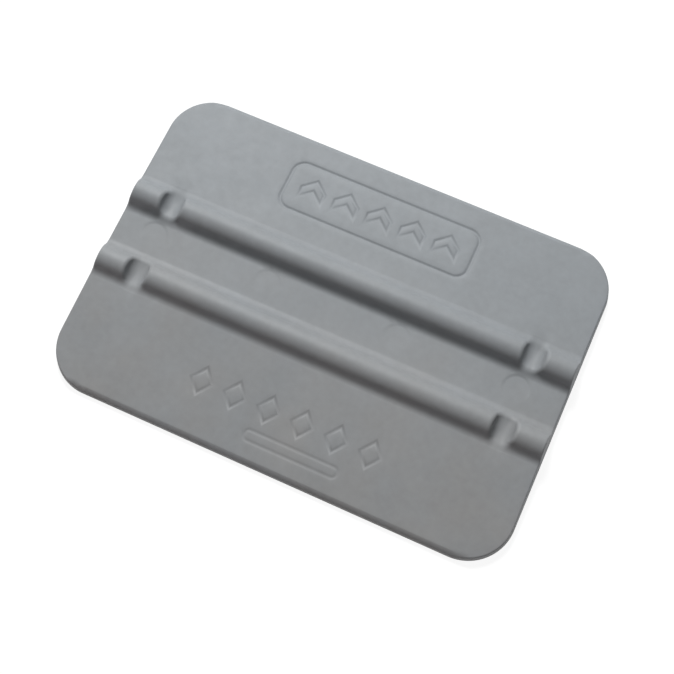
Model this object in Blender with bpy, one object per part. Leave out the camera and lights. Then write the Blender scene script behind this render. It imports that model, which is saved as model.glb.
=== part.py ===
# Hard squeegee card for smoothing film and vinyl, moulded in one shot.
# Metres, +Z up. X runs along the two working edges, Y across the card.
# The origin is on the flat underside, below the middle of the card.

import math

import bmesh
import bpy
from mathutils import Matrix, Vector

# Outline of the card
CARD_LENGTH = 0.100
CARD_WIDTH = 0.070
CORNER_RADIUS = 0.010
SIDE_DRAFT = math.radians(9.0)

# Cross-section of the card: thin at both long edges, thickest where the wings meet the ribs
SPINE_THICKNESS = 0.0031
WING_THICKNESS = 0.0035
NOSE_THICKNESS = 0.0009
BEVEL_WIDTH = 0.001
BEVEL_ANGLE = math.radians(45.0)

# Two grip ribs, which run the whole length of the card; their height is measured over the spine
RIB_SPACING = 0.016
RIB_HEIGHT = 0.00295
RIB_FLANK_ANGLE = math.radians(60.0)
RIB_CROWN_RADIUS = 0.00285
INNER_FOOT_RADIUS = 0.0022
OUTER_FOOT_RADIUS = 0.0023

# Oval notches, which cut each rib near both of its ends, with a rounded bottom that falls towards the wing
NOTCH_FROM_END = 0.00965
NOTCH_FLOOR = 0.00019
NOTCH_RADIUS = 0.00217
NOTCH_WALL_ANGLE = math.radians(73.0)
NOTCH_STRETCH = 2.4
NOTCH_OVAL_POWER = 3.2

# Round marks of the ejector pins, in one row between the ribs, a little off the middle of the card
PIN_MARK_RADIUS = 0.0028
PIN_MARK_DEPTH = 0.00005
PIN_ROW_X = -0.0009
PIN_ROW_Y = 0.0008
OUTER_PIN_SPACING = 0.0810
INNER_PIN_SPACING = 0.0290

# Plain engraving: framed chevrons on one wing, lozenges on the other
GROOVE_WIDTH = 0.0007
GROOVE_DEPTH = 0.0002
FRAME_LENGTH = 0.0430
FRAME_HEIGHT = 0.0120
FRAME_RADIUS = 0.0030
CHEVRON_COUNT = 5
CHEVRON_PITCH = 0.0076
CHEVRON_WIDTH = 0.0058
CHEVRON_RISE = 0.0026
CHEVRON_BAND = 0.0034
LOZENGE_COUNT = 6
LOZENGE_PITCH = 0.0074
LOZENGE_WIDTH = 0.0052
LOZENGE_HEIGHT = 0.0066

# Faint outline of a mould insert, between the lozenges and the working edge
INSERT_LENGTH = 0.0205
INSERT_HEIGHT = 0.0026
INSERT_RADIUS = 0.0012
INSERT_X = 0.0039
INSERT_OFFSET = 0.0062
INSERT_WIDTH = 0.0004
INSERT_DEPTH = 0.00008

# Fineness of the round shapes, and the overshoot of every cutter
CORNER_STEPS = 16
CROWN_STEPS = 10
FOOT_STEPS = 5
FRAME_STEPS = 6
PIN_SIDES = 32
NOTCH_SIDES = 40
NOTCH_STEPS = 8
OVERSHOOT = 0.002

PLASTIC_COLOR = (0.312, 0.328, 0.341, 1.0)
PLASTIC_ROUGHNESS = 0.6


def clear_scene():
    for item in list(bpy.data.objects):
        bpy.data.objects.remove(item, do_unlink=True)


def arc(center, radius, start, end, steps):
    """Points on an arc from one angle to the other, both included."""
    points = []
    for i in range(steps + 1):
        angle = start + (end - start) * i / steps
        x = center[0] + radius * math.cos(angle)
        y = center[1] + radius * math.sin(angle)
        points.append((x, y))
    return points


def rounded_rectangle(length, width, radius, steps):
    """Counter-clockwise outline, centred on the origin."""
    points = []
    for quarter in range(4):
        side_x = 1 if quarter in (0, 3) else -1
        side_y = 1 if quarter in (0, 1) else -1
        center = (side_x * (length / 2 - radius), side_y * (width / 2 - radius))
        start = quarter * math.pi / 2
        points += arc(center, radius, start, start + math.pi / 2, steps)
    return points


def inset_outline(points, distance):
    """The same counter-clockwise outline, moved inwards by a distance."""
    inset = []
    for i, point in enumerate(points):
        here = Vector(point)
        before = (here - Vector(points[i - 1])).normalized()
        after = (Vector(points[(i + 1) % len(points)]) - here).normalized()
        normal_before = Vector((-before.y, before.x))
        normal_after = Vector((-after.y, after.x))
        bisector = (normal_before + normal_after).normalized()
        inset.append(tuple(here + bisector * (distance / bisector.dot(normal_after))))
    return inset


def flank_angle(radii, height):
    """Steepest angle on one side of a rib: the straight flank's, or less where crown and foot meet."""
    return min(RIB_FLANK_ANGLE, math.acos(max(-1.0, 1 - height / radii)))


def rib_side(foot_radius, base):
    """One side of a rib over a plate of thickness base, as (offset, z) pairs: foot, flank, crown."""
    height = SPINE_THICKNESS + RIB_HEIGHT - base
    radii = RIB_CROWN_RADIUS + foot_radius
    angle = flank_angle(radii, height)
    flank_height = height - radii * (1 - math.cos(angle))
    reach = radii * math.sin(angle) + flank_height / math.tan(angle)
    down = -math.pi / 2
    up = math.pi / 2
    points = arc((reach, base + foot_radius), foot_radius, down, down - angle, FOOT_STEPS)
    points += arc((0.0, base + height - RIB_CROWN_RADIUS), RIB_CROWN_RADIUS, up - angle, up, CROWN_STEPS)
    return points


def outer_side():
    return rib_side(OUTER_FOOT_RADIUS, WING_THICKNESS)


def inner_side():
    return rib_side(INNER_FOOT_RADIUS, SPINE_THICKNESS)


def wing_start():
    """(y, z) of the line where a rib's outer foot meets the wing."""
    return RIB_SPACING / 2 + outer_side()[0][0], WING_THICKNESS


def bevel_start():
    """(y, z) of the line where a wing meets the bevel of its long edge."""
    return CARD_WIDTH / 2 - BEVEL_WIDTH, NOSE_THICKNESS + BEVEL_WIDTH * math.tan(BEVEL_ANGLE)


def wing_angle():
    start_y, start_z = wing_start()
    end_y, end_z = bevel_start()
    return math.atan2(start_z - end_z, end_y - start_y)


def section_half():
    """Top of the section from the +Y edge to the centre line, as (y, z) pairs."""
    points = [(CARD_WIDTH / 2 + OVERSHOOT, NOSE_THICKNESS)]
    points.append((CARD_WIDTH / 2, NOSE_THICKNESS))
    points.append(bevel_start())
    crest = RIB_SPACING / 2
    points += [(crest + offset, z) for offset, z in outer_side()]
    points += [(crest - offset, z) for offset, z in reversed(inner_side()[:-1])]
    return points


def section():
    """Whole section, counter-clockwise seen from +X."""
    half = section_half()
    top = half + [(-y, z) for y, z in reversed(half)]
    edge = CARD_WIDTH / 2 + OVERSHOOT
    return [(-edge, 0.0), (edge, 0.0)] + top


def add_frustum(bm, base, roof, low, high, matrix):
    """Closed body between two counter-clockwise outlines with as many points."""
    bottom = [bm.verts.new(matrix @ Vector((x, y, low))) for x, y in base]
    top = [bm.verts.new(matrix @ Vector((x, y, high))) for x, y in roof]
    bm.faces.new(list(reversed(bottom)))
    bm.faces.new(top)
    count = len(base)
    for i in range(count):
        j = (i + 1) % count
        bm.faces.new((bottom[i], bottom[j], top[j], top[i]))


def add_prism(bm, points, low, high, matrix):
    add_frustum(bm, points, points, low, high, matrix)


def add_ring(bm, outer, inner, low, high, matrix):
    """Closed ring-shaped prism between two counter-clockwise outlines."""
    loops = []
    for points, z in ((outer, low), (outer, high), (inner, high), (inner, low)):
        loops.append([bm.verts.new(matrix @ Vector((x, y, z))) for x, y in points])
    count = len(outer)
    for side in range(4):
        near = loops[side]
        far = loops[(side + 1) % 4]
        for i in range(count):
            j = (i + 1) % count
            bm.faces.new((near[i], near[j], far[j], far[i]))


def make_object(name, bm):
    bmesh.ops.recalc_face_normals(bm, faces=bm.faces)
    mesh = bpy.data.meshes.new(name)
    bm.to_mesh(mesh)
    bm.free()
    item = bpy.data.objects.new(name, mesh)
    bpy.context.scene.collection.objects.link(item)
    return item


def make_cutter(name, bm):
    item = make_object(name, bm)
    item.hide_render = True
    item.display_type = "WIRE"
    return item


def make_blank():
    """The cross-section, extruded past both short edges."""
    bm = bmesh.new()
    reach = CARD_LENGTH / 2 + OVERSHOOT
    along_x = Matrix(((0, 0, 1, 0), (1, 0, 0, 0), (0, 1, 0, 0), (0, 0, 0, 1)))
    add_prism(bm, section(), -reach, reach, along_x)
    return make_object("squeegee_card", bm)


def drafted_outline(z):
    """Outline of the side walls at a height: they lean in from the underside up."""
    lean = z * math.tan(SIDE_DRAFT)
    length = CARD_LENGTH - 2 * lean
    width = CARD_WIDTH - 2 * lean
    return rounded_rectangle(length, width, CORNER_RADIUS - lean, CORNER_STEPS)


def make_outline():
    bm = bmesh.new()
    low = -OVERSHOOT
    high = SPINE_THICKNESS + RIB_HEIGHT + OVERSHOOT
    add_frustum(bm, drafted_outline(low), drafted_outline(high), low, high, Matrix.Identity(4))
    return make_cutter("outline_keeper", bm)


def notch_side():
    """A notch's wall as (reach, rise) pairs along X: rounded bottom, then straight past the crest."""
    down = -math.pi / 2
    points = arc((0.0, NOTCH_RADIUS), NOTCH_RADIUS, down, down + NOTCH_WALL_ANGLE, NOTCH_STEPS)[1:]
    reach, rise = points[-1]
    top = RIB_HEIGHT + OVERSHOOT
    points.append((reach + (top - rise) / math.tan(NOTCH_WALL_ANGLE), top))
    return points


def oval(reach):
    """Outline of a notch at one level: an ellipse made fuller, longer across the rib than along it."""
    points = []
    for i in range(NOTCH_SIDES):
        angle = 2 * math.pi * i / NOTCH_SIDES
        x = math.cos(angle)
        y = math.sin(angle)
        size = (abs(x) ** NOTCH_OVAL_POWER + abs(y) ** NOTCH_OVAL_POWER) ** (1 / NOTCH_OVAL_POWER)
        points.append((reach * x / size, reach * NOTCH_STRETCH * y / size))
    return points


def add_notch(bm, center_x, side_y):
    """An oval pan on one rib: side_y is 1 at +Y, -1 at -Y."""
    rings = []
    for reach, rise in notch_side():
        ring = []
        for x, y in oval(reach):
            z = SPINE_THICKNESS + NOTCH_FLOOR + rise - y * math.tan(wing_angle())
            ring.append(bm.verts.new((center_x + x, side_y * (RIB_SPACING / 2 + y), z)))
        rings.append(ring)
    bm.faces.new(rings[0])
    bm.faces.new(rings[-1])
    for lower, upper in zip(rings, rings[1:]):
        for i in range(NOTCH_SIDES):
            j = (i + 1) % NOTCH_SIDES
            bm.faces.new((lower[i], lower[j], upper[j], upper[i]))


def make_notches():
    bm = bmesh.new()
    reach = CARD_LENGTH / 2 - NOTCH_FROM_END
    for center_x in (-reach, reach):
        for side_y in (-1, 1):
            add_notch(bm, center_x, side_y)
    return make_cutter("notch_cutter", bm)


def make_pin_marks():
    bm = bmesh.new()
    circle = arc((0.0, 0.0), PIN_MARK_RADIUS, 0.0, 2 * math.pi, PIN_SIDES)[:-1]
    outer = OUTER_PIN_SPACING / 2
    inner = INNER_PIN_SPACING / 2
    low = SPINE_THICKNESS - PIN_MARK_DEPTH
    for x in (-outer, -inner, inner, outer):
        place = Matrix.Translation((PIN_ROW_X + x, PIN_ROW_Y, 0.0))
        add_prism(bm, circle, low, low + RIB_HEIGHT / 2, place)
    return make_cutter("pin_mark_cutter", bm)


def wing_place(side, x):
    """Matrix from a drawing's plane to the middle of a wing: side is 1 at +Y, -1 at -Y."""
    start_y, start_z = wing_start()
    end_y, end_z = bevel_start()
    middle = Vector((x, side * (start_y + end_y) / 2, (start_z + end_z) / 2))
    return Matrix.Translation(middle) @ Matrix.Rotation(-side * wing_angle(), 4, "X")


def row_of(count, pitch):
    return [(i - (count - 1) / 2) * pitch for i in range(count)]


def add_groove(bm, outline, width, depth, place):
    add_ring(bm, outline, inset_outline(outline, width), -depth, OVERSHOOT, place)


def chevron():
    """Thick arrowhead that points to +Y, counter-clockwise."""
    half = CHEVRON_WIDTH / 2
    low = -(CHEVRON_RISE + CHEVRON_BAND) / 2
    return [
        (0.0, low + CHEVRON_RISE),
        (half, low),
        (half, low + CHEVRON_BAND),
        (0.0, low + CHEVRON_RISE + CHEVRON_BAND),
        (-half, low + CHEVRON_BAND),
        (-half, low),
    ]


def lozenge():
    half_x = LOZENGE_WIDTH / 2
    half_y = LOZENGE_HEIGHT / 2
    return [(half_x, 0.0), (0.0, half_y), (-half_x, 0.0), (0.0, -half_y)]


def insert_outline():
    outline = rounded_rectangle(INSERT_LENGTH, INSERT_HEIGHT, INSERT_RADIUS, FRAME_STEPS)
    return [(x, y - INSERT_OFFSET) for x, y in outline]


def make_engraving():
    bm = bmesh.new()
    frame = rounded_rectangle(FRAME_LENGTH, FRAME_HEIGHT, FRAME_RADIUS, FRAME_STEPS)
    add_groove(bm, frame, GROOVE_WIDTH, GROOVE_DEPTH, wing_place(1, 0.0))
    for x in row_of(CHEVRON_COUNT, CHEVRON_PITCH):
        add_groove(bm, chevron(), GROOVE_WIDTH, GROOVE_DEPTH, wing_place(1, x))
    for x in row_of(LOZENGE_COUNT, LOZENGE_PITCH):
        add_groove(bm, lozenge(), GROOVE_WIDTH, GROOVE_DEPTH, wing_place(-1, x))
    add_groove(bm, insert_outline(), INSERT_WIDTH, INSERT_DEPTH, wing_place(-1, INSERT_X))
    return make_cutter("engraving_cutter", bm)


def add_boolean(item, operation, cutter):
    modifier = item.modifiers.new(cutter.name, "BOOLEAN")
    modifier.operation = operation
    modifier.object = cutter


def make_plastic():
    material = bpy.data.materials.new("grey_plastic")
    material.use_nodes = True
    shader = material.node_tree.nodes["Principled BSDF"]
    shader.inputs["Base Color"].default_value = PLASTIC_COLOR
    shader.inputs["Roughness"].default_value = PLASTIC_ROUGHNESS
    shader.inputs["Metallic"].default_value = 0.0
    return material


def make_card():
    card = make_blank()
    card.data.materials.append(make_plastic())
    card.data.shade_smooth()
    card.data.set_sharp_from_angle(angle=math.radians(30.0))
    add_boolean(card, "INTERSECT", make_outline())
    add_boolean(card, "DIFFERENCE", make_notches())
    add_boolean(card, "DIFFERENCE", make_pin_marks())
    add_boolean(card, "DIFFERENCE", make_engraving())


clear_scene()
make_card()
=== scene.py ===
# Looks of the hard squeegee card: its fine surface, its satin grey plastic, the light, floor and camera.
# Metres, in the frame of the CAD model: X along the working edges, +Z up, origin on the underside.

import math

import bpy
import numpy as np
from mathutils import Matrix, Vector
from mathutils.geometry import delaunay_2d_cdt


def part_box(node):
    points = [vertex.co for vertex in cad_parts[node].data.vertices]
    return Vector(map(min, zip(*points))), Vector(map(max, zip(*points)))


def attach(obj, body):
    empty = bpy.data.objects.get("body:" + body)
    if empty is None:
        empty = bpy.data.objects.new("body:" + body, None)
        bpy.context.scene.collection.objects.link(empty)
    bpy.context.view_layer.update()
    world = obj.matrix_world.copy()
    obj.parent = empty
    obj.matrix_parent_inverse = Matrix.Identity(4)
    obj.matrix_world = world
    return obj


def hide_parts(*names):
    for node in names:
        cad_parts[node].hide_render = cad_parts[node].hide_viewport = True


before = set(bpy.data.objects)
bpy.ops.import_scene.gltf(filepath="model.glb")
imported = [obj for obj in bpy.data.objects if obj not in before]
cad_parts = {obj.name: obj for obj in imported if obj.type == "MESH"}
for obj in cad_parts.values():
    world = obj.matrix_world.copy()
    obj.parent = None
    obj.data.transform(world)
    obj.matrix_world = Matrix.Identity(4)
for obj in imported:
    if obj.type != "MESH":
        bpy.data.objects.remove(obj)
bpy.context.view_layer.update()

LOW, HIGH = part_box("squeegee_card")
MM = 0.001

# Outline of the card
CARD_LENGTH = HIGH.x - LOW.x
CARD_WIDTH = HIGH.y - LOW.y
CORNER_RADIUS = 10.0 * MM
SIDE_DRAFT = math.radians(9.0)
RIM_SOFTNESS = 0.32 * MM
RIM_SHARE = 0.22
UNDER_EDGE_RADIUS = 0.15 * MM

# Cross-section: thin noses at both long edges, thickest where the wings meet the ribs
SPINE_THICKNESS = 3.1 * MM
WING_THICKNESS = 3.5 * MM
NOSE_THICKNESS = 0.9 * MM
BEVEL_WIDTH = 1.0 * MM
BEVEL_ANGLE = math.radians(45.0)
CREASE_SOFTNESS = 0.22 * MM

# Two grip ribs, which stand higher over the spine than over the wings
RIB_SPACING = 16.0 * MM
RIB_HEIGHT = HIGH.z - LOW.z - SPINE_THICKNESS
OUTER_RIB_HEIGHT = SPINE_THICKNESS + RIB_HEIGHT - WING_THICKNESS
RIB_FLANK_ANGLE = math.radians(60.0)
RIB_CROWN_RADIUS = 2.85 * MM
INNER_FOOT_RADIUS = 2.2 * MM
OUTER_FOOT_RADIUS = 2.3 * MM

# Notches near the rib ends: oval pans with a rounded bottom that falls towards the wing
NOTCH_FROM_END = 9.65 * MM
NOTCH_FLOOR = 0.19 * MM
NOTCH_RADIUS = 2.17 * MM
NOTCH_WALL_ANGLE = math.radians(73.0)
NOTCH_STRETCH = 2.4
NOTCH_OVAL_POWER = 3.2
NOTCH_RIM_SOFTNESS = 0.7 * MM

# Round marks of the ejector pins between the ribs, a little off the middle of the card.
# Each is a disc that dips towards its far edge, with a soft step round it.
PIN_MARK_RADIUS = 2.8 * MM
PIN_MARK_DEPTHS = (0.1 * MM, 0.07 * MM, 0.08 * MM, 0.14 * MM)
PIN_EDGE_REACH = 0.4 * MM
PIN_DIP = Vector((-0.15, 1.0))
PIN_ROW_X = -0.9 * MM
PIN_ROW_Y = 0.8 * MM
OUTER_PIN_SPACING = 81.0 * MM
INNER_PIN_SPACING = 29.0 * MM

# Engraving: framed chevrons on one wing, lozenges on the other
GROOVE_WIDTH = 0.7 * MM
GROOVE_REACH = 0.6 * MM
GROOVE_DEPTH = 0.2 * MM
FRAME_LENGTH = 43.0 * MM
FRAME_HEIGHT = 12.0 * MM
FRAME_RADIUS = 3.0 * MM
CHEVRON_COUNT = 5
CHEVRON_PITCH = 7.6 * MM
CHEVRON_WIDTH = 5.8 * MM
CHEVRON_RISE = 2.6 * MM
CHEVRON_BAND = 3.4 * MM
LOZENGE_COUNT = 6
LOZENGE_PITCH = 7.4 * MM
LOZENGE_WIDTH = 5.2 * MM
LOZENGE_HEIGHT = 6.6 * MM

# Faint outline of a mould insert, between the lozenges and the working edge
INSERT_LENGTH = 20.5 * MM
INSERT_HEIGHT = 2.6 * MM
INSERT_RADIUS = 1.2 * MM
INSERT_X = 3.9 * MM
INSERT_OFFSET = 6.2 * MM
INSERT_WIDTH = 0.4 * MM
INSERT_DEPTH = 0.08 * MM

# Fineness of the mesh
CORNER_STEPS = 32
FRAME_STEPS = 10
RIM_STEPS = 6
EDGE_STEPS = 3
CROWN_STEPS = 14
FOOT_STEPS = 12
WIDE_STEP = 1.5 * MM
SPINE_STEP = 0.8 * MM
FOOT_APRON = 0.9 * MM
RIM_MARGIN = 0.35 * MM
NOTCH_SIDES = 128
NOTCH_BOTTOM_STEP = 0.14 * MM
NOTCH_WALL_STEP = 0.03 * MM
NOTCH_LIP_STEP = 0.07 * MM
NOTCH_SHOULDER = 0.3 * MM
PIN_SIDES = 56
PIN_EDGE_SHARES = (-1.0, -0.67, -0.33, 0.0, 0.33, 0.67, 1.0)
CREASE_ROWS = (-4, -2, -1, 0, 1, 2, 4)
COLUMN_MARGIN = 4 * SIDE_DRAFT * RIB_HEIGHT
RIM_GAP = 0.25
DRAFT_ROUNDS = 4
SLOPE_PROBE = 0.01 * MM
HALVINGS = 40
GROOVE_LINES = 4
FILL_INSIDE = 1
FILL_TOLERANCE = 1e-7

# Plastic: two greys that mix into the mottling, a slow cast over them with painted light tint that warms
# the -Y wing, sheen and grain
PLASTIC_DARK = (0.263, 0.274, 0.283, 1.0)
PLASTIC_LIGHT = (0.363, 0.383, 0.402, 1.0)
MOTTLE_WIDE_SCALE = 110.0
MOTTLE_FINE_SCALE = 650.0
MOTTLE_DETAIL = 2.0
COOL_CAST = (0.98, 1.0, 1.018, 1.0)
WARM_CAST = (1.05, 1.0, 0.96, 1.0)
CAST_SCALE = 70.0
CAST_DETAIL = 3.0
# Painted light tint: the cast is pushed warmer towards the -Y wing, which faces away from the key, as if
# the light there were warmer
PAINTED_TINT_DRIFT = (0.1, 1.5)
PAINTED_TINT_SPAN_Y = (20.0 * MM, -25.0 * MM)
PLASTIC_ROUGHNESS = 0.6
SHEEN_SPREAD = 0.06
SHEEN_SCALE = 400.0
SHEEN_DETAIL = 4.0
GRAIN_STRENGTH = 0.12
GRAIN_HEIGHT = 0.04 * MM
GRAIN_SCALE = 5200.0
GRAIN_DETAIL = 3.0

# Light: a key behind the far long edge, a dim fill before the near one, and a faint even light
LIGHT_AIM = Vector((0.0, 0.0, 4.0)) * MM
KEY_DIRECTION = Vector((-0.301, 0.610, 0.733))
KEY_DISTANCE = 0.74
KEY_SIZE = 0.2
KEY_WATTS = 4.86
KEY_COLOR = (0.992, 1.0, 1.0)
FILL_DIRECTION = Vector((-0.4, -1.0, 0.14))
FILL_DISTANCE = 0.5
FILL_SIZE = 0.12
FILL_WATTS = 0.145
FILL_COLOR = (1.0, 0.8, 0.81)
WORLD_WHITE = (1.0, 1.0, 1.0, 1.0)
WORLD_LIGHT = 0.067

# Floor, which is lit as a white table but seen as plain white with a faint shadow
FLOOR_SIZE = 6.0
FLOOR_WHITE = 0.8
FLOOR_SEEN_WHITE = 0.2
FLOOR_GLOW = 0.91

# The photograph's camera
CAMERA_PLACE = Vector((36.18, -68.91, 241.75)) * MM
CAMERA_BACK = Vector((0.13457, -0.26036, 0.95609))
CAMERA_UP = Vector((-0.38902, 0.87352, 0.29263))
CAMERA_LENS = 65.92
CAMERA_SENSOR = 36.0
CAMERA_CLIP_START = 10.0 * MM


def arc(center, radius, start, end, steps):
    """Points on an arc from one angle to the other, both included."""
    points = []
    for i in range(steps + 1):
        angle = start + (end - start) * i / steps
        x = center[0] + radius * math.cos(angle)
        y = center[1] + radius * math.sin(angle)
        points.append((x, y))
    return points


def rounded_rectangle(length, width, radius, steps):
    """Counter-clockwise outline, centred on the origin."""
    points = []
    for quarter in range(4):
        side_x = 1 if quarter in (0, 3) else -1
        side_y = 1 if quarter in (0, 1) else -1
        center = (side_x * (length / 2 - radius), side_y * (width / 2 - radius))
        start = quarter * math.pi / 2
        points += arc(center, radius, start, start + math.pi / 2, steps)
    return points


def inset_outline(points, distance):
    """The same counter-clockwise outline, moved inwards by a distance, or outwards by a negative one."""
    inset = []
    for i, point in enumerate(points):
        here = Vector(point)
        before = (here - Vector(points[i - 1])).normalized()
        after = (Vector(points[(i + 1) % len(points)]) - here).normalized()
        normal_before = Vector((-before.y, before.x))
        normal_after = Vector((-after.y, after.x))
        bisector = (normal_before + normal_after).normalized()
        inset.append(tuple(here + bisector * (distance / bisector.dot(normal_after))))
    return inset


def soft_min(a, b, softness):
    """The lower of two heights, with the crease between them rounded."""
    share = np.clip(0.5 + 0.5 * (b - a) / softness, 0.0, 1.0)
    return b + (a - b) * share - softness * share * (1.0 - share)


def flank_angle(foot_radius, height):
    """Steepest angle on one side of a rib: the straight flank's, or less where crown and foot meet."""
    rise_share = height / (RIB_CROWN_RADIUS + foot_radius)
    return min(RIB_FLANK_ANGLE, math.acos(max(-1.0, 1 - rise_share)))


def rib_reach(foot_radius, height):
    """Distance from a rib's crest to the end of the foot on one side."""
    angle = flank_angle(foot_radius, height)
    radii = RIB_CROWN_RADIUS + foot_radius
    flank_height = height - radii * (1 - math.cos(angle))
    return radii * math.sin(angle) + flank_height / math.tan(angle)


SPINE_HALF = RIB_SPACING / 2 + rib_reach(OUTER_FOOT_RADIUS, OUTER_RIB_HEIGHT)
BEVEL_Y = CARD_WIDTH / 2 - BEVEL_WIDTH
BEVEL_Z = NOSE_THICKNESS + BEVEL_WIDTH * math.tan(BEVEL_ANGLE)
WING_SLOPE = (WING_THICKNESS - BEVEL_Z) / (BEVEL_Y - SPINE_HALF)
NOTCH_X = CARD_LENGTH / 2 - NOTCH_FROM_END
PIN_SPREAD = (-OUTER_PIN_SPACING / 2, -INNER_PIN_SPACING / 2, INNER_PIN_SPACING / 2, OUTER_PIN_SPACING / 2)
PIN_PLACES = [PIN_ROW_X + x for x in PIN_SPREAD]


def rib_side(offset, foot_radius, height):
    """Height of one side of a rib over the plate beside it, by distance from its crest."""
    angle = flank_angle(foot_radius, height)
    reach = rib_reach(foot_radius, height)
    crown_end = RIB_CROWN_RADIUS * math.sin(angle)
    foot_start = reach - foot_radius * math.sin(angle)
    crown_drop = RIB_CROWN_RADIUS - np.sqrt(np.maximum(RIB_CROWN_RADIUS**2 - offset**2, 0.0))
    foot = foot_radius - np.sqrt(np.maximum(foot_radius**2 - (reach - offset) ** 2, 0.0))
    flank_top = height - RIB_CROWN_RADIUS * (1 - math.cos(angle))
    flank = flank_top - (offset - crown_end) * math.tan(angle)
    side = np.where(offset < foot_start, flank, foot)
    side = np.where(offset < crown_end, height - crown_drop, side)
    return np.where(offset < reach, side, 0.0)


def section_height(y):
    """Top of the plain cross-section: bevels, wings, spine and ribs."""
    across = np.abs(y)
    bevel = NOSE_THICKNESS + (CARD_WIDTH / 2 - across) * math.tan(BEVEL_ANGLE)
    wing = WING_THICKNESS - (across - SPINE_HALF) * WING_SLOPE
    plate = np.minimum(soft_min(wing, bevel, CREASE_SOFTNESS), WING_THICKNESS)
    outer = plate + rib_side(across - RIB_SPACING / 2, OUTER_FOOT_RADIUS, OUTER_RIB_HEIGHT)
    inner = SPINE_THICKNESS + rib_side(RIB_SPACING / 2 - across, INNER_FOOT_RADIUS, RIB_HEIGHT)
    return np.where(across > RIB_SPACING / 2, outer, inner)


def notch_reach(x, y):
    """Half the length along X of the oval round the nearest notch on which each point lies."""
    along = np.abs(np.abs(x) - NOTCH_X)
    across = np.abs(np.abs(y) - RIB_SPACING / 2) / NOTCH_STRETCH
    return (along**NOTCH_OVAL_POWER + across**NOTCH_OVAL_POWER) ** (1 / NOTCH_OVAL_POWER)


def notch_distance(reach, level):
    """Distance from a notch's surface into the card, at a height over the lowest line of its floor."""
    along_wall = reach * math.cos(NOTCH_WALL_ANGLE) + (level - NOTCH_RADIUS) * math.sin(NOTCH_WALL_ANGLE)
    from_wall = reach * math.sin(NOTCH_WALL_ANGLE) - (level - NOTCH_RADIUS) * math.cos(NOTCH_WALL_ANGLE)
    from_axis = np.where(along_wall > 0.0, from_wall, np.hypot(reach, level - NOTCH_RADIUS))
    return from_axis - NOTCH_RADIUS


def notched_height(x, y):
    """Top surface with the notches and their round rims, found by halving the height between two limits."""
    plain = section_height(y)
    rise = (section_height(y + SLOPE_PROBE) - section_height(y - SLOPE_PROBE)) / (2 * SLOPE_PROBE)
    lean = 1.0 / np.hypot(1.0, rise)
    reach = notch_reach(x, y)
    floor = SPINE_THICKNESS + NOTCH_FLOOR - (np.abs(y) - RIB_SPACING / 2) * WING_SLOPE
    low = np.zeros_like(plain)
    high = plain.copy()
    for _ in range(HALVINGS):
        middle = (low + high) / 2
        depth = soft_min((plain - middle) * lean, notch_distance(reach, middle - floor), NOTCH_RIM_SOFTNESS)
        low = np.where(depth > 0.0, middle, low)
        high = np.where(depth > 0.0, high, middle)
    return (low + high) / 2


def smooth_step(share):
    """0 up to 0, 1 from 1 on, with a soft rise between them."""
    share = np.clip(share, 0.0, 1.0)
    return share * share * (3.0 - 2.0 * share)


def pin_mark_depth(x, y):
    """Depth of the shallow discs that the ejector pins leave, deepest at one side."""
    depth = np.zeros_like(x)
    for place, deepest in zip(PIN_PLACES, PIN_MARK_DEPTHS):
        u = (x - place) / PIN_MARK_RADIUS
        v = (y - PIN_ROW_Y) / PIN_MARK_RADIUS
        dip = np.clip(0.5 + 0.5 * (u * PIN_DIP.x + v * PIN_DIP.y), 0.0, 1.0)
        inside = (1.0 - np.hypot(u, v)) * PIN_MARK_RADIUS / PIN_EDGE_REACH
        depth += deepest * dip * smooth_step(0.5 + 0.5 * inside)
    return depth


def top_height(x, y):
    """Top surface of the card without its engraving."""
    return notched_height(x, y) - pin_mark_depth(x, y)


def chevron():
    """Thick arrowhead that points to +Y, counter-clockwise."""
    half = CHEVRON_WIDTH / 2
    low = -(CHEVRON_RISE + CHEVRON_BAND) / 2
    return [
        (0.0, low + CHEVRON_RISE),
        (half, low),
        (half, low + CHEVRON_BAND),
        (0.0, low + CHEVRON_RISE + CHEVRON_BAND),
        (-half, low + CHEVRON_BAND),
        (-half, low),
    ]


def lozenge():
    half_x = LOZENGE_WIDTH / 2
    half_y = LOZENGE_HEIGHT / 2
    return [(half_x, 0.0), (0.0, half_y), (-half_x, 0.0), (0.0, -half_y)]


def on_wing(outline, side, x):
    """A drawing laid on the middle of a wing, seen from above: side is 1 at +Y, -1 at -Y."""
    middle = side * (SPINE_HALF + BEVEL_Y) / 2
    foreshortening = math.cos(math.atan(WING_SLOPE))
    return [(x + u, middle + v * foreshortening) for u, v in outline]


def row_of(count, pitch):
    return [(i - (count - 1) / 2) * pitch for i in range(count)]


def insert_outline():
    outline = rounded_rectangle(INSERT_LENGTH, INSERT_HEIGHT, INSERT_RADIUS, FRAME_STEPS)
    return [(x, y - INSERT_OFFSET) for x, y in outline]


def grooves():
    """Every groove as a centre line and a depth."""
    frame_outline = rounded_rectangle(FRAME_LENGTH, FRAME_HEIGHT, FRAME_RADIUS, FRAME_STEPS)
    drawings = [on_wing(frame_outline, 1, 0.0)]
    drawings += [on_wing(chevron(), 1, x) for x in row_of(CHEVRON_COUNT, CHEVRON_PITCH)]
    drawings += [on_wing(lozenge(), -1, x) for x in row_of(LOZENGE_COUNT, LOZENGE_PITCH)]
    lines = [(inset_outline(drawing, GROOVE_WIDTH / 2), GROOVE_DEPTH) for drawing in drawings]
    insert = on_wing(insert_outline(), -1, INSERT_X)
    return lines + [(inset_outline(insert, INSERT_WIDTH / 2), INSERT_DEPTH)]


def groove_lines():
    """Closed lines along the grooves as (points, depth) pairs: one in the bottom, more up both walls."""
    lines = []
    for center, depth in grooves():
        for k in range(-GROOVE_LINES, GROOVE_LINES + 1):
            share = k / GROOVE_LINES
            level = depth * (0.5 + 0.5 * math.cos(math.pi * share))
            lines.append((inset_outline(center, share * GROOVE_REACH), level))
    return lines


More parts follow.
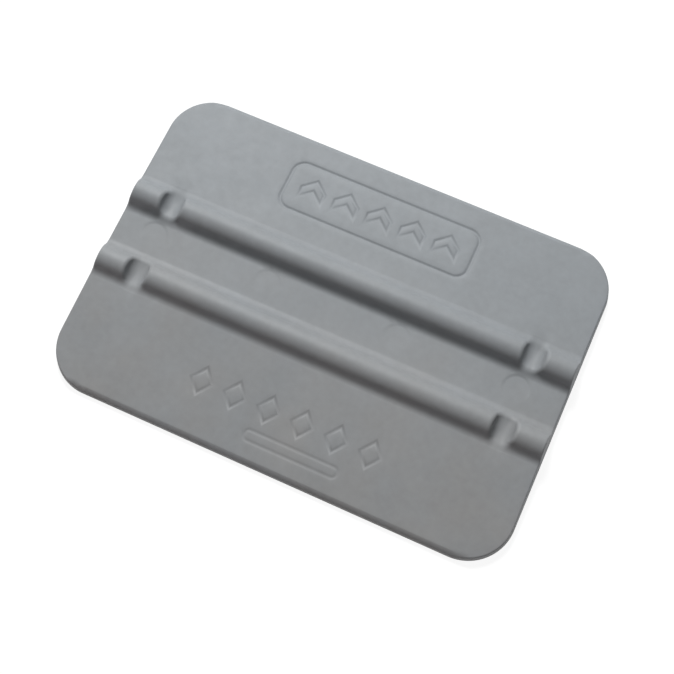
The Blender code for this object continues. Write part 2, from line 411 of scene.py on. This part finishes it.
def pin_lines():
    """Circles along the soft edge of each pin mark."""
    lines = []
    for place in PIN_PLACES:
        for share in PIN_EDGE_SHARES:
            radius = PIN_MARK_RADIUS + share * PIN_EDGE_REACH
            circle = arc((place, PIN_ROW_Y), radius, 0.0, 2 * math.pi, PIN_SIDES)[:-1]
            lines.append((circle, 0.0))
    return lines


def both_signs(values):
    return sorted(set(values) | {-value for value in values})


def spread(start, end, step):
    """Even values from start to end, about a step apart."""
    count = max(1, round((end - start) / step))
    return [start + (end - start) * i / count for i in range(count + 1)]


def rib_side_rows(foot_radius, height):
    """Distances from the crest of the rows down one side of a rib and just beside it."""
    angle = flank_angle(foot_radius, height)
    reach = rib_reach(foot_radius, height)
    offsets = [RIB_CROWN_RADIUS * math.sin(angle * i / CROWN_STEPS) for i in range(CROWN_STEPS + 1)]
    offsets += [reach - foot_radius * math.sin(angle * i / FOOT_STEPS) for i in range(FOOT_STEPS)]
    return offsets + spread(reach + FOOT_APRON / 4, reach + FOOT_APRON, FOOT_APRON / 4)


def rib_rows():
    """Distances from the centre line of the rows on and beside one rib."""
    outer = rib_side_rows(OUTER_FOOT_RADIUS, OUTER_RIB_HEIGHT)
    inner = rib_side_rows(INNER_FOOT_RADIUS, RIB_HEIGHT)
    rows = [RIB_SPACING / 2 + offset for offset in outer]
    rows += [RIB_SPACING / 2 - offset for offset in inner[1:]]
    return rows


def plate_rows():
    """Distances from the centre line of the rows on the spine, the wings and the bevels."""
    inner = RIB_SPACING / 2 - rib_reach(INNER_FOOT_RADIUS, RIB_HEIGHT) - FOOT_APRON
    outer = SPINE_HALF + FOOT_APRON
    rows = spread(0.0, inner, SPINE_STEP)[:-1]
    rows += spread(outer, BEVEL_Y - 4 * CREASE_SOFTNESS, WIDE_STEP)[1:]
    rows += [BEVEL_Y + k * CREASE_SOFTNESS / 2 for k in CREASE_ROWS]
    return rows


def columns():
    """Places along X of the points on every row."""
    return spread(0.0, CARD_LENGTH / 2 - COLUMN_MARGIN, WIDE_STEP)


def notch_ring_reaches():
    """Sizes of the rings of points in a notch, closest together on its wall, and the size past its rim."""
    wall_start = NOTCH_RADIUS * math.sin(NOTCH_WALL_ANGLE)
    wall_rise = RIB_HEIGHT - NOTCH_RADIUS * (1 - math.cos(NOTCH_WALL_ANGLE))
    rim = wall_start + max(wall_rise, 0.0) / math.tan(NOTCH_WALL_ANGLE)
    steep = wall_start - NOTCH_SHOULDER
    lip = rim + NOTCH_RIM_SOFTNESS
    reaches = spread(NOTCH_BOTTOM_STEP, steep, NOTCH_BOTTOM_STEP)[:-1]
    reaches += spread(steep, rim, NOTCH_WALL_STEP)
    reaches += spread(rim, lip, NOTCH_LIP_STEP)[1:]
    return reaches, lip + NOTCH_SHOULDER / 2


def notch_points():
    """Oval rings of points in the notches, as far as these cut into the ribs."""
    reaches, _ = notch_ring_reaches()
    foot = max(rib_reach(INNER_FOOT_RADIUS, RIB_HEIGHT), rib_reach(OUTER_FOOT_RADIUS, OUTER_RIB_HEIGHT))
    points = []
    for i in range(NOTCH_SIDES):
        angle = 2 * math.pi * i / NOTCH_SIDES
        x, y = math.cos(angle), math.sin(angle)
        size = (abs(x) ** NOTCH_OVAL_POWER + abs(y) ** NOTCH_OVAL_POWER) ** (1 / NOTCH_OVAL_POWER)
        for reach in reaches:
            across = reach * NOTCH_STRETCH * y / size
            if abs(across) < foot:
                points.append((reach * x / size, across))
    places = [(side_x * NOTCH_X, side_y * RIB_SPACING / 2) for side_x in (-1, 1) for side_y in (-1, 1)]
    return [(x + u, y + v) for x, y in places for u, v in points]


def outline_samples(rows):
    """Points of the underside outline with their inward normals, counter-clockwise from the +X edge."""
    half_x = CARD_LENGTH / 2
    half_y = CARD_WIDTH / 2
    straight_y = [y for y in both_signs(rows) if abs(y) < half_y - CORNER_RADIUS - RIM_MARGIN]
    straight_x = spread(-half_x + CORNER_RADIUS, half_x - CORNER_RADIUS, WIDE_STEP)[1:-1]
    samples = [((half_x, y), (-1.0, 0.0)) for y in straight_y]
    corners = [(half_x, half_y, 0), (-half_x, half_y, 1), (-half_x, -half_y, 2), (half_x, -half_y, 3)]
    for x, y, quarter in corners:
        center = (x - math.copysign(CORNER_RADIUS, x), y - math.copysign(CORNER_RADIUS, y))
        start = quarter * math.pi / 2
        for point in arc(center, CORNER_RADIUS, start, start + math.pi / 2, CORNER_STEPS):
            normal = ((center[0] - point[0]) / CORNER_RADIUS, (center[1] - point[1]) / CORNER_RADIUS)
            samples.append((point, normal))
        if quarter == 0:
            samples += [((x, half_y), (0.0, -1.0)) for x in reversed(straight_x)]
        if quarter == 1:
            samples += [((-half_x, y), (1.0, 0.0)) for y in reversed(straight_y)]
        if quarter == 2:
            samples += [((x, -half_y), (0.0, 1.0)) for x in straight_x]
    points = np.array([point for point, _ in samples])
    normals = np.array([normal for _, normal in samples])
    return points, normals


def rim_rings(points, normals):
    """Rings of points from the underside up the drafted wall and over its soft upper edge."""
    lean = math.tan(SIDE_DRAFT)
    height = np.full(len(points), SPINE_THICKNESS)
    for _ in range(DRAFT_ROUNDS):
        corner = points + normals * (height * lean)[:, None]
        height = section_height(corner[:, 1])
    soft = np.minimum(RIM_SOFTNESS, RIM_SHARE * height)
    rings = []
    for i in range(EDGE_STEPS + 1):
        angle = math.pi / 2 * i / EDGE_STEPS
        inset = UNDER_EDGE_RADIUS * (1 - math.sin(angle)) + UNDER_EDGE_RADIUS * lean * math.sin(angle)
        level = UNDER_EDGE_RADIUS * (1 - math.cos(angle))
        rings.append((np.full(len(points), inset), np.full(len(points), level)))
    low = UNDER_EDGE_RADIUS + RIM_GAP * soft
    high = height - (1 + RIM_GAP) * soft
    for level in (low, np.maximum(low, high)):
        rings.append((level * lean, level))
    end_inset = height * lean + soft
    end = points + normals * end_inset[:, None]
    end_level = top_height(end[:, 0], end[:, 1])
    start_level = height - soft
    for i in range(RIM_STEPS + 1):
        t = i / RIM_STEPS
        inset = (1 - t) ** 2 * start_level * lean + 2 * t * (1 - t) * height * lean + t * t * end_inset
        level = (1 - t) ** 2 * start_level + 2 * t * (1 - t) * height + t * t * end_level
        rings.append((inset, level))
    return [np.column_stack((points + normals * inset[:, None], level)) for inset, level in rings]


def wall_distance(x, y):
    """Distance from the underside outline, measured inwards."""
    over_x = np.abs(x) - (CARD_LENGTH / 2 - CORNER_RADIUS)
    over_y = np.abs(y) - (CARD_WIDTH / 2 - CORNER_RADIUS)
    outside = np.hypot(np.maximum(over_x, 0.0), np.maximum(over_y, 0.0))
    inside = np.minimum(np.maximum(over_x, over_y), 0.0)
    return CORNER_RADIUS - outside - inside


def line_distance(x, y, outline):
    """Distance of each point from a closed line."""
    nearest = np.full(len(x), CARD_LENGTH)
    for i, start in enumerate(outline):
        start = np.array(start)
        along = np.array(outline[(i + 1) % len(outline)]) - start
        share = ((x - start[0]) * along[0] + (y - start[1]) * along[1]) / along.dot(along)
        share = np.clip(share, 0.0, 1.0)
        away = np.hypot(x - start[0] - share * along[0], y - start[1] - share * along[1])
        nearest = np.minimum(nearest, away)
    return nearest


def lattice():
    """Free points of the top: rows along X, closer together on the ribs, and rings in the notches."""
    rows = both_signs(rib_rows() + plate_rows())
    x, y = np.array([(x, y) for y in rows for x in both_signs(columns())]).T
    outside = notch_reach(x, y) > notch_ring_reaches()[1]
    x, y = np.concatenate((np.column_stack((x[outside], y[outside])), notch_points())).T
    edge = section_height(y) * math.tan(SIDE_DRAFT) + RIM_SOFTNESS + RIM_MARGIN
    keep = wall_distance(x, y) > edge
    for center, _ in grooves():
        keep &= line_distance(x, y, center) > GROOVE_REACH + RIM_MARGIN / 2
    for place in PIN_PLACES:
        ring = np.abs(np.hypot(x - place, y - PIN_ROW_Y) - PIN_MARK_RADIUS)
        keep &= ring > PIN_EDGE_REACH + RIM_MARGIN / 2
    return np.column_stack((x[keep], y[keep]))


def fill_outline(loop, lines, free):
    """Triangles over a closed loop with lines and free points inside it, which keep this order."""
    points = [tuple(point) for point in loop]
    edges = [(i, (i + 1) % len(loop)) for i in range(len(loop))]
    for line in lines:
        start = len(points)
        points += line
        edges += [(start + i, start + (i + 1) % len(line)) for i in range(len(line))]
    points += [tuple(point) for point in free]
    scaled = [Vector(point) / MM for point in points]
    _, _, faces, origins, _, _ = delaunay_2d_cdt(scaled, edges, [], FILL_INSIDE, FILL_TOLERANCE)
    order = [origin[0] for origin in origins]
    return points, [[order[vertex] for vertex in face] for face in faces]


def join_rings(start, count, rings):
    """Quads between rings of as many points, whose numbers follow each other."""
    faces = []
    for ring in range(rings - 1):
        near = start + ring * count
        far = near + count
        for i in range(count):
            j = (i + 1) % count
            faces.append((near + i, near + j, far + j, far + i))
    return faces


def card_mesh():
    """The whole card as one closed mesh: rings up the rim, the top over them and the underside."""
    points, normals = outline_samples(rib_rows() + plate_rows())
    rings = rim_rings(points, normals)
    count = len(points)
    vertices = np.concatenate(rings)
    faces = join_rings(0, count, len(rings))

    lines = groove_lines() + pin_lines()
    top, top_faces = fill_outline(rings[-1][:, :2], [line for line, _ in lines], lattice())
    inner = np.array(top[count:])
    depth = np.zeros(len(inner))
    start = 0
    for line, line_depth in lines:
        depth[start:start + len(line)] = line_depth
        start += len(line)
    height = top_height(inner[:, 0], inner[:, 1]) - depth
    shift = (len(rings) - 1) * count
    faces += [[vertex + shift for vertex in face] for face in top_faces]
    vertices = np.concatenate((vertices, np.column_stack((inner, height))))
    faces.append(list(range(count - 1, -1, -1)))

    mesh = bpy.data.meshes.new("squeegee_card_surface")
    mesh.from_pydata(vertices.tolist(), [], faces)
    mesh.validate()
    mesh.update()
    mesh.shade_smooth()
    return mesh


def make_card():
    card = bpy.data.objects.new("card_surface", card_mesh())
    bpy.context.scene.collection.objects.link(card)
    card.data.materials.append(grey_plastic())
    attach(card, "root")
    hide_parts("squeegee_card")


def new_material(name):
    material = bpy.data.materials.new(name)
    material.use_nodes = True
    material.node_tree.nodes.clear()
    return material


def add_node(tree, kind, **settings):
    """A shader node with some of its properties and, by name, its input values set."""
    node = tree.nodes.new(kind)
    for name, value in settings.items():
        if name in node.bl_rna.properties:
            setattr(node, name, value)
        else:
            node.inputs[name.replace("_", " ").title()].default_value = value
    return node


def noise(tree, place, scale, detail):
    node = add_node(tree, "ShaderNodeTexNoise", Scale=scale, Detail=detail)
    tree.links.new(place, node.inputs["Vector"])
    return node.outputs["Fac"]


def cast_and_painted_light_tint(tree, place):
    """Tint that wanders at random between cool and warm, with painted light tint that turns it a little
    warmer towards the -Y wing, which faces away from the key.
    """
    link = tree.links.new
    axes = add_node(tree, "ShaderNodeSeparateXYZ")
    link(place, axes.inputs["Vector"])
    # Painted light tint: a ramp from +Y to -Y that warms the wing facing away from the key
    painted_tint_ramp = add_node(tree, "ShaderNodeMapRange")
    link(axes.outputs["Y"], painted_tint_ramp.inputs["Value"])
    painted_tint_ramp.inputs["From Min"].default_value = PAINTED_TINT_SPAN_Y[0]
    painted_tint_ramp.inputs["From Max"].default_value = PAINTED_TINT_SPAN_Y[1]
    painted_tint_ramp.inputs["To Min"].default_value = PAINTED_TINT_DRIFT[0]
    painted_tint_ramp.inputs["To Max"].default_value = PAINTED_TINT_DRIFT[1]
    share = add_node(tree, "ShaderNodeMath", operation="MULTIPLY")
    link(noise(tree, place, CAST_SCALE, CAST_DETAIL), share.inputs[0])
    link(painted_tint_ramp.outputs["Result"], share.inputs[1])
    cast = add_node(tree, "ShaderNodeMix", data_type="RGBA")
    cast.inputs["A"].default_value = COOL_CAST
    cast.inputs["B"].default_value = WARM_CAST
    link(share.outputs["Value"], cast.inputs["Factor"])
    return cast.outputs["Result"]


def grey_plastic():
    """Satin moulded plastic: faint mottling, a slow cast with painted light tint, spark-eroded grain and an
    uneven sheen.
    """
    material = new_material("grey_plastic_looks")
    tree = material.node_tree
    link = tree.links.new
    place = add_node(tree, "ShaderNodeTexCoord").outputs["Object"]

    mottle = add_node(tree, "ShaderNodeMix")
    link(noise(tree, place, MOTTLE_WIDE_SCALE, MOTTLE_DETAIL), mottle.inputs["A"])
    link(noise(tree, place, MOTTLE_FINE_SCALE, MOTTLE_DETAIL), mottle.inputs["B"])
    tint = add_node(tree, "ShaderNodeMix", data_type="RGBA")
    tint.inputs["A"].default_value = PLASTIC_DARK
    tint.inputs["B"].default_value = PLASTIC_LIGHT
    link(mottle.outputs["Result"], tint.inputs["Factor"])

    color = add_node(tree, "ShaderNodeMix", data_type="RGBA", blend_type="MULTIPLY")
    color.inputs["Factor"].default_value = 1.0
    link(tint.outputs["Result"], color.inputs["A"])
    link(cast_and_painted_light_tint(tree, place), color.inputs["B"])

    sheen = add_node(tree, "ShaderNodeMapRange")
    link(noise(tree, place, SHEEN_SCALE, SHEEN_DETAIL), sheen.inputs["Value"])
    sheen.inputs["To Min"].default_value = PLASTIC_ROUGHNESS - SHEEN_SPREAD
    sheen.inputs["To Max"].default_value = PLASTIC_ROUGHNESS + SHEEN_SPREAD

    grain = add_node(tree, "ShaderNodeBump", Strength=GRAIN_STRENGTH, Distance=GRAIN_HEIGHT)
    link(noise(tree, place, GRAIN_SCALE, GRAIN_DETAIL), grain.inputs["Height"])

    shader = add_node(tree, "ShaderNodeBsdfPrincipled")
    link(color.outputs["Result"], shader.inputs["Base Color"])
    link(sheen.outputs["Result"], shader.inputs["Roughness"])
    link(grain.outputs["Normal"], shader.inputs["Normal"])
    output = add_node(tree, "ShaderNodeOutputMaterial")
    link(shader.outputs["BSDF"], output.inputs["Surface"])
    return material


def seen_directly(tree):
    """1 for rays from the camera, from gloss and through glass, 0 for the rays that light the object."""
    path = add_node(tree, "ShaderNodeLightPath")
    gloss = add_node(tree, "ShaderNodeMath", operation="MAXIMUM")
    tree.links.new(path.outputs["Is Glossy Ray"], gloss.inputs[0])
    tree.links.new(path.outputs["Is Transmission Ray"], gloss.inputs[1])
    seen = add_node(tree, "ShaderNodeMath", operation="MAXIMUM")
    tree.links.new(path.outputs["Is Camera Ray"], seen.inputs[0])
    tree.links.new(gloss.outputs["Value"], seen.inputs[1])
    return seen.outputs["Value"]


def level_by_ray(tree, unseen, seen):
    """One value for the rays that light the object, another for those that show what they meet."""
    level = add_node(tree, "ShaderNodeMapRange")
    tree.links.new(seen_directly(tree), level.inputs["Value"])
    level.inputs["To Min"].default_value = unseen
    level.inputs["To Max"].default_value = seen
    return level.outputs["Result"]


def floor_material():
    """White table that bounces light, keeps a faint shadow, and glows up to white where it is seen."""
    material = new_material("floor_white")
    tree = material.node_tree
    diffuse = add_node(tree, "ShaderNodeBsdfDiffuse")
    tree.links.new(level_by_ray(tree, FLOOR_WHITE, FLOOR_SEEN_WHITE), diffuse.inputs["Color"])
    glow = add_node(tree, "ShaderNodeEmission")
    tree.links.new(level_by_ray(tree, 0.0, FLOOR_GLOW), glow.inputs["Strength"])
    both = add_node(tree, "ShaderNodeAddShader")
    tree.links.new(diffuse.outputs["BSDF"], both.inputs[0])
    tree.links.new(glow.outputs["Emission"], both.inputs[1])
    output = add_node(tree, "ShaderNodeOutputMaterial")
    tree.links.new(both.outputs["Shader"], output.inputs["Surface"])
    return material


def make_floor():
    mesh = bpy.data.meshes.new("floor")
    half = FLOOR_SIZE / 2
    corners = [(-half, -half, 0.0), (half, -half, 0.0), (half, half, 0.0), (-half, half, 0.0)]
    mesh.from_pydata(corners, [], [(0, 1, 2, 3)])
    mesh.materials.append(floor_material())
    floor = bpy.data.objects.new("floor", mesh)
    bpy.context.scene.collection.objects.link(floor)


def make_world():
    """White where it is seen, with a dim even light for the object."""
    world = bpy.data.worlds.new("studio")
    bpy.context.scene.world = world
    world.use_nodes = True
    tree = world.node_tree
    tree.nodes.clear()
    background = add_node(tree, "ShaderNodeBackground", Color=WORLD_WHITE)
    tree.links.new(level_by_ray(tree, WORLD_LIGHT, 1.0), background.inputs["Strength"])
    output = add_node(tree, "ShaderNodeOutputWorld")
    tree.links.new(background.outputs["Background"], output.inputs["Surface"])


def make_lamp(name, direction, distance, size, watts, color):
    """A soft round lamp that faces the card from a direction."""
    lamp = bpy.data.lights.new(name, "AREA")
    lamp.shape = "DISK"
    lamp.size = size
    lamp.energy = watts
    lamp.color = color
    item = bpy.data.objects.new(name, lamp)
    bpy.context.scene.collection.objects.link(item)
    direction = direction.normalized()
    item.location = LIGHT_AIM + direction * distance
    item.rotation_mode = "QUATERNION"
    item.rotation_quaternion = direction.to_track_quat("Z", "Y")


def make_lights():
    """A key behind the far long edge, a little to the left, and a dim low fill before the near one."""
    make_lamp("key", KEY_DIRECTION, KEY_DISTANCE, KEY_SIZE, KEY_WATTS, KEY_COLOR)
    make_lamp("fill", FILL_DIRECTION, FILL_DISTANCE, FILL_SIZE, FILL_WATTS, FILL_COLOR)


def make_camera():
    camera = bpy.data.cameras.new("camera")
    camera.lens = CAMERA_LENS
    camera.sensor_width = CAMERA_SENSOR
    camera.clip_start = CAMERA_CLIP_START
    item = bpy.data.objects.new("camera", camera)
    bpy.context.scene.collection.objects.link(item)
    back = CAMERA_BACK.normalized()
    right = CAMERA_UP.cross(back).normalized()
    up = back.cross(right)
    turn = Matrix((right, up, back)).transposed().to_4x4()
    item.matrix_world = Matrix.Translation(CAMERA_PLACE) @ turn
    bpy.context.scene.camera = item


bpy.context.scene.view_settings.view_transform = "Standard"
make_camera()
make_card()
make_floor()
make_world()
make_lights()
